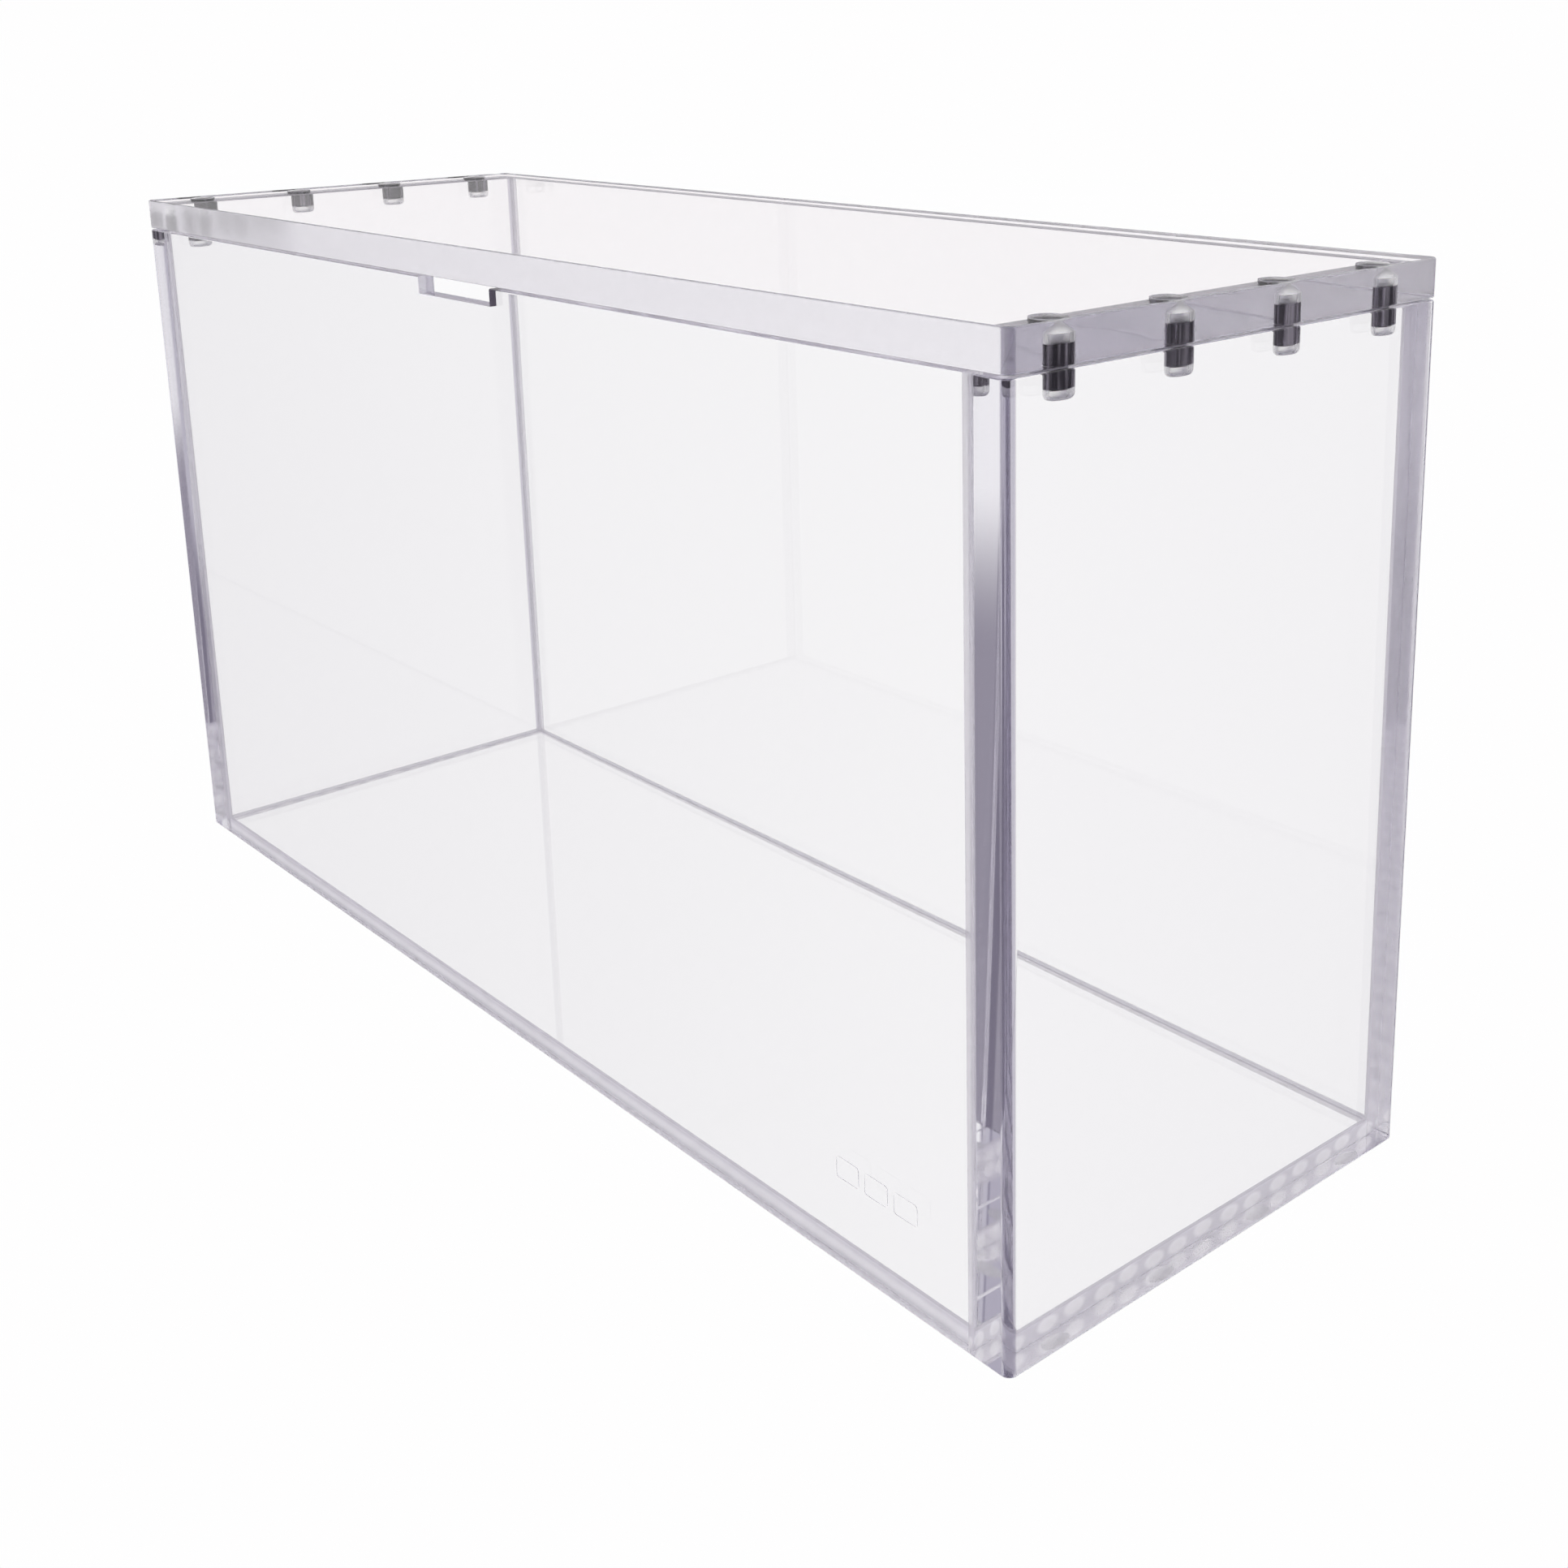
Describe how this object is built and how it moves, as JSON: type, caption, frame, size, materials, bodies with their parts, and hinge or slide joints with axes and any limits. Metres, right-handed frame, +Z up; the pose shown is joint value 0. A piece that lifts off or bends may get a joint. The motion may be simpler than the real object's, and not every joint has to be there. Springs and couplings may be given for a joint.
{
  "type": "card display case",
  "caption": "Long clear acrylic card case with thick ends, a thumb notch in front and a loose flat lid held by small magnets",
  "frame": {"origin": "under the middle of the case, on the surface it stands on", "axes": "+X to the right along the length, +Y from the front panel to the back panel, +Z up"},
  "size_m": [0.266, 0.09, 0.146],
  "materials": {
    "clear_acrylic": "clear cast acrylic sheet with polished faces and edges",
    "magnet_nickel": "dark nickel plating"
  },
  "bodies": {
    "case": {"bottom_panel": "clear_acrylic", "front_panel": "clear_acrylic", "back_panel": "clear_acrylic", "left_end_panel": "clear_acrylic", "right_end_panel": "clear_acrylic", "case_magnet_left_1": "magnet_nickel", "case_magnet_left_2": "magnet_nickel", "case_magnet_left_3": "magnet_nickel", "case_magnet_left_4": "magnet_nickel", "case_magnet_right_1": "magnet_nickel", "case_magnet_right_2": "magnet_nickel", "case_magnet_right_3": "magnet_nickel", "case_magnet_right_4": "magnet_nickel"},
    "lid": {"lid_panel": "clear_acrylic", "lid_magnet_left_1": "magnet_nickel", "lid_magnet_left_2": "magnet_nickel", "lid_magnet_left_3": "magnet_nickel", "lid_magnet_left_4": "magnet_nickel", "lid_magnet_right_1": "magnet_nickel", "lid_magnet_right_2": "magnet_nickel", "lid_magnet_right_3": "magnet_nickel", "lid_magnet_right_4": "magnet_nickel"}
  },
  "joints": [
    {"name": "lid_lift", "type": "slide", "parent": "case", "child": "lid", "axis": [0, 0, 1], "range_m": [0, 0.15]}
  ]
}
